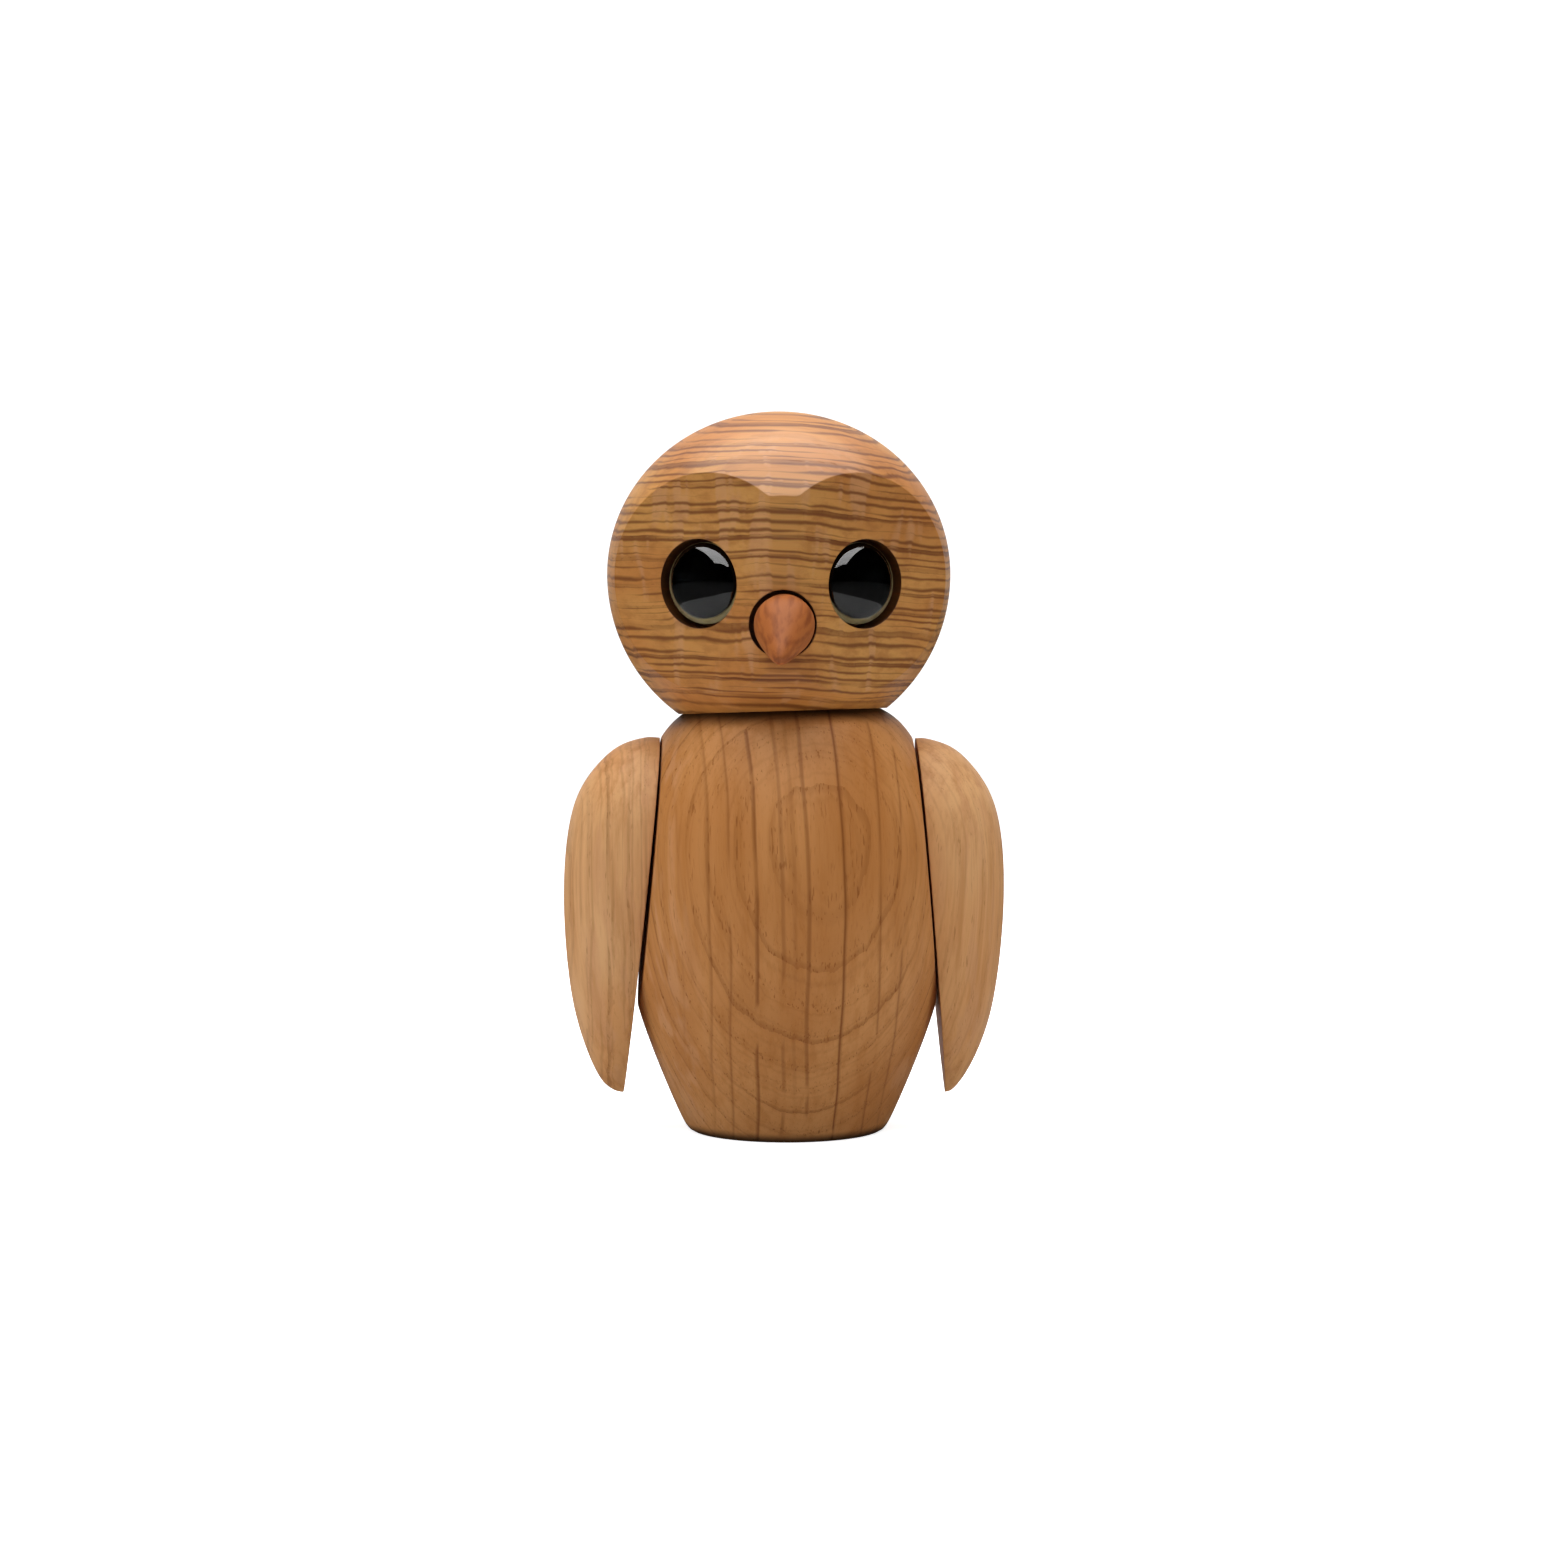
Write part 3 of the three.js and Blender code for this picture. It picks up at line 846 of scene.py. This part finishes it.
def disc(name, radius, count):
    """A flat round floor."""
    rim = [(radius * math.cos(math.tau * i / count), radius * math.sin(math.tau * i / count), 0)
           for i in range(count)]
    return link_mesh(name, rim, [tuple(range(count))])


def ball(name, radius, around, up):
    """A ball that is seen from within, with its two poles first."""
    corners = [(0, 0, -radius), (0, 0, radius)]
    for j in range(1, up):
        rise = -math.pi / 2 + math.pi * j / up
        for i in range(around):
            turn_by = math.tau * i / around
            corners.append((radius * math.cos(rise) * math.cos(turn_by),
                            radius * math.cos(rise) * math.sin(turn_by), radius * math.sin(rise)))

    def at(j, i):
        return 2 + (j - 1) * around + i % around

    faces = [(0, at(1, i + 1), at(1, i)) for i in range(around)]
    faces += [(1, at(up - 1, i), at(up - 1, i + 1)) for i in range(around)]
    for j in range(1, up - 1):
        faces += [(at(j, i), at(j, i + 1), at(j + 1, i + 1), at(j + 1, i)) for i in range(around)]
    return link_mesh(name, corners, faces)


class OWL_OT_stage(bpy.types.Operator):
    """Sets the camera, the pale floor, the white surround and the softbox"""

    bl_idname = "owl.stage"
    bl_label = "Camera, floor and light"

    def execute(self, context):
        scene = context.scene
        stage = scene.owl_stage
        away = abs(CAMERA_AT[1])
        lens = bpy.data.cameras.new("Camera")
        lens.sensor_width = SENSOR
        lens.lens = SENSOR * away / FRAME_WIDTH
        lens.clip_start = CLIP_START * MM
        camera = bpy.data.objects.new("Camera", lens)
        camera.location = Vector(CAMERA_AT) * MM
        camera.rotation_euler = (math.pi / 2 + math.atan2(FRAME_CENTRE_RISE, away), 0, 0)
        scene.collection.objects.link(camera)
        scene.camera = camera
        scene.view_settings.view_transform = "Standard"

        world = bpy.data.worlds.new("Dim room")
        world.use_nodes = True
        glow = world.node_tree.nodes["Background"]
        glow.inputs["Color"].default_value = (1, 1, 1, 1)
        glow.inputs["Strength"].default_value = stage.room
        scene.world = world

        area_light("Softbox", SOFTBOX, stage.lamp, SOFTBOX_AT)
        hide_from(area_light("Softbox skirt", SKIRT, stage.skirt, SKIRT_AT), "diffuse")
        for side, share in ((-1, 1.0), (1, 0.5)):
            at = Vector(REFLECTOR_AT) * Vector((side, 1, 1))
            low = area_light("Side reflector", REFLECTOR, stage.side * share, at)
            low.data.color = REFLECTOR_TINT
            low.rotation_euler = (Vector(REFLECTOR_AIM) - at).to_track_quat("-Z", "Y").to_euler()
            hide_from(low, "glossy")

        floor = disc("Floor", FLOOR_RADIUS, 96)
        floor.data.materials.append(floor_paper(stage))
        dome = ball("Surround", SURROUND_RADIUS, 64, 32)
        dome.data.materials.append(white_surround())
        hide_from(dome, "diffuse", "transmission", "shadow", "volume_scatter")
        return {"FINISHED"}


# Pieces

class OWL_OT_body(bpy.types.Operator):
    """Turns the barrel body and planes its neck and its two side flats"""

    bl_idname = "owl.body"
    bl_label = "Body"

    def execute(self, context):
        size, paint = sizes(), finishes()
        grain = oak_grain((-22.6, 120.0, 45.0), (-0.035, 0.129, 1.0), size.body_rings / MM,
                          phase=0.3, rag=(0.5, 0.5, 0.08), ribbon=(0.3, 0.3, 0.05),
                          ray_places=BODY_RAYS)
        # painted shade under the head's overhang at the neck and along the foot, fading in toward
        # each
        ends = [(seam_up(), BODY_TOP - 2.8, BODY_TOP - 0.1), (Vector((0, 0, -1)), -1.9, -0.2)]
        look = oak_look(paint, light=paint.body_light, mid=paint.body_mid, ring=0.42, streak=0.1,
                        early=0.6, pore=0.5, sheen=0.1, ends=ends)
        finish = oak("Oiled oak, body", look, grain)
        body = turn("body_oak", smooth_profile(BODY_KNOTS), size.sides, 150, finish)
        cut(body, block(seam_up(), (0, 0, BODY_TOP * MM)))
        for side in (-1, 1):
            outward = Vector((side, 0, FLAT_SPLAY)).normalized()
            if side < 0:
                outward.rotate(Matrix.Rotation(math.radians(LEFT_TOE), 3, "Z"))
            cut(body, block(outward, (side * FLAT_TOP[0] * MM, 0, FLAT_TOP[1] * MM)))
        finish_piece(body, finish, "body")
        return {"FINISHED"}


class OWL_OT_head(bpy.types.Operator):
    """Turns the ball head, cuts the face's two flats, and bores the sockets and the beak's hole"""

    bl_idname = "owl.head"
    bl_label = "Head"

    def execute(self, context):
        size, paint = sizes(), finishes()
        fall = math.radians(HEAD_FIBRE_FALL)
        grain = oak_grain((0.0, -15.0, 232.0), (math.cos(fall), 0, -math.sin(fall)),
                          size.head_rings / MM, ripple=1.3, uneven=1.2, rag=(0.14, 0.14, 0.04),
                          ribbon=(0.07, 0.3, 0.28), pores=(2.6, 2.6, 0.12))
        look = oak_look(paint, ring=1.0, streak=0.8, streak_width=0.3, streak_edge=4.5, lanes=3.0,
                        fibre=0.55, pore=0.25, sheen=0.5)
        finish = oak("Oiled oak, head", look, grain)
        # painted shade: the walls of the holes get dark oak, so the holes look deep
        look = oak_look(paint, light=paint.hole_shade_light, mid=paint.hole_shade_mid, dark=paint.hole_shade_dark,
                        ray_light=paint.hole_shade_light)
        hole_shade = oak("Bored oak, dark from the drill", look, grain)

        lowest = -math.asin((HEAD_CENTRE[2] - BODY_TOP + HEAD_SPARE) / HEAD_RADIUS)
        under = arc(HEAD_RADIUS, HEAD_RADIUS, lowest, 0, 40)
        over = arc(HEAD_RISE, HEAD_RADIUS, 0, math.pi / 2, 60)
        line = [(under[0][0], 0), *under, *over[1:-1], (HEAD_RISE, 0)]
        head = turn("head_oak", np.array(line) * MM, size.sides, 160, finish)
        for side in (-1, 1):
            normal = eye_place(side)[0]
            cut(head, block(normal, normal * size.face_depth))
        for normal, foot in ridge_planes():
            cut(head, block(normal, foot))
        holes = head_holes(size)
        for hole in holes:
            cut(head, drill(*hole))
        seat_head(head)
        cut(head, block(-seam_up(), (0, 0, BODY_TOP * MM)))
        walls = [(head_place(at - axis * depth), head_turn() @ axis, radius + WALL_SLACK * MM)
                 for at, axis, radius, depth, _ in holes]
        finish_piece(head, finish, "head", hole_shade=hole_shade, holes=walls)
        return {"FINISHED"}


class OWL_OT_wings(bpy.types.Operator):
    """Turns a teardrop for each wing, splits it down its length and sets its flat side in"""

    bl_idname = "owl.wings"
    bl_label = "Wings"

    def execute(self, context):
        paint = finishes()
        grains = {-1: oak_grain((-160.0, -20.0, 40.0), (-0.02, 0.03, 1.0), 3.1, phase=0.1,
                                ragged=0.4),
                  1: oak_grain((70.0, 60.0, 40.0), (0.06, -0.04, 1.0), 2.4, phase=0.6,
                               ragged=0.4)}
        figures = {-1: {"ring": 0.4, "streak": 0.2}, 1: {"ring": 0.12, "streak": 0.1}}
        for side, word in ((-1, "left"), (1, "right")):
            look = oak_look(paint, light=paint.wing_light, mid=paint.wing_mid, pore=0.3, sheen=0.1,
                            **figures[side])
            finish = oak(f"Oiled oak, {word} wing", look, grains[side])
            knots = WING_KNOTS[side]
            top_x, splay = WING_SEAT[side]
            top_z = knots[0][0]
            stretch = math.hypot(1, splay)
            line = smooth_profile([((z - top_z) * stretch, t / stretch) for z, t in knots])
            wing = turn(f"wing_{word}_oak", line, sizes().sides, 170, finish)
            cut(wing, block((-side, 0, 0), (0, 0, 0)))
            wing.data.transform(Matrix.Rotation(-side * math.atan(splay), 4, "Y"))
            if side < 0:
                wing.data.transform(Matrix.Rotation(math.radians(LEFT_TOE), 4, "Z"))
            wing.data.transform(Matrix.Translation(Vector((side * top_x, 0, top_z)) * MM))
            finish_piece(wing, finish, f"wing_{word}")
        return {"FINISHED"}


class OWL_OT_eyes(bpy.types.Operator):
    """Sets a clear glass cabochon with its painted back in each socket"""

    bl_idname = "owl.eyes"
    bl_label = "Eyes"

    def execute(self, context):
        size = sizes()
        radius = size.glass_radius / MM
        inner = radius - GLASS_BEVEL
        glass_line = [(-GLASS_BACK, 0), (-GLASS_BACK, inner), (-GLASS_BACK + GLASS_BEVEL, radius),
                      *arc(GLASS_DOME, radius, 0, math.pi / 2, 40)[:-1], (GLASS_DOME, 0)]
        paint_line = [(-GLASS_EDGE, 0), (-GLASS_EDGE, inner - PAINT_BEVEL),
                      (-GLASS_EDGE + PAINT_BEVEL, inner), (-PAINT_FACE, inner), (-PAINT_FACE, 0)]
        clear = eye_glass(finishes())
        for side, word in ((-1, "left"), (1, "right")):
            normal, _, rim = eye_place(side)
            painted = rim + (Vector((0, 0, PUPIL_RISE)) - normal * PAINT_FACE) * MM
            paint = eye_paint(finishes(), size.glass_radius, size.pupil, head_place(painted))
            for name, line, finish in ((f"eye_{word}_glass", glass_line, clear),
                                       (f"eye_{word}_paint", paint_line, paint)):
                piece = turn(name, np.array(line) * MM, 96, 60, finish)
                aim(piece, normal, rim)
                seat_head(piece)
                finish_piece(piece, finish, f"eye_{word}", crease=35.0)
        return {"FINISHED"}


class OWL_OT_beak(bpy.types.Operator):
    """Turns the small wooden beak and sets it in its hole"""

    bl_idname = "owl.beak"
    bl_label = "Beak"

    def execute(self, context):
        finish = beak_wood(finishes())
        beak = turn("beak_wood", smooth_profile(BEAK_KNOTS), 96, 120, finish)
        aim(beak, beak_axis(), Vector(BEAK_CENTRE) * MM)
        seat_head(beak)
        finish_piece(beak, finish, "beak", crease=35.0)
        return {"FINISHED"}


class OWL_PT_bench(bpy.types.Panel):
    """Lists the owl's settings and pieces in the sidebar"""

    bl_label = "Oak Owl"
    bl_idname = "OWL_PT_bench"
    bl_space_type = "VIEW_3D"
    bl_region_type = "UI"
    bl_category = "Oak Owl"

    def draw(self, context):
        layout = self.layout
        for group in (context.scene.owl_sizes, context.scene.owl_finish, context.scene.owl_stage):
            box = layout.box()
            for name in group.__annotations__:
                box.prop(group, name)
        for step in STEPS:
            layout.operator(step.bl_idname)


STEPS = (OWL_OT_stage, OWL_OT_body, OWL_OT_head, OWL_OT_wings, OWL_OT_eyes, OWL_OT_beak)
CLASSES = (OwlSizes, OwlFinish, OwlStage, *STEPS, OWL_PT_bench)


def register():
    for item in CLASSES:
        bpy.utils.register_class(item)
    bpy.types.Scene.owl_sizes = PointerProperty(type=OwlSizes)
    bpy.types.Scene.owl_finish = PointerProperty(type=OwlFinish)
    bpy.types.Scene.owl_stage = PointerProperty(type=OwlStage)


def unregister():
    for name in ("owl_sizes", "owl_finish", "owl_stage"):
        delattr(bpy.types.Scene, name)
    for item in reversed(CLASSES):
        bpy.utils.unregister_class(item)


def main():
    register()
    bpy.ops.owl.stage()
    bpy.ops.owl.body()
    bpy.ops.owl.head()
    bpy.ops.owl.wings()
    bpy.ops.owl.eyes()
    bpy.ops.owl.beak()


if __name__ == "__main__":
    main()
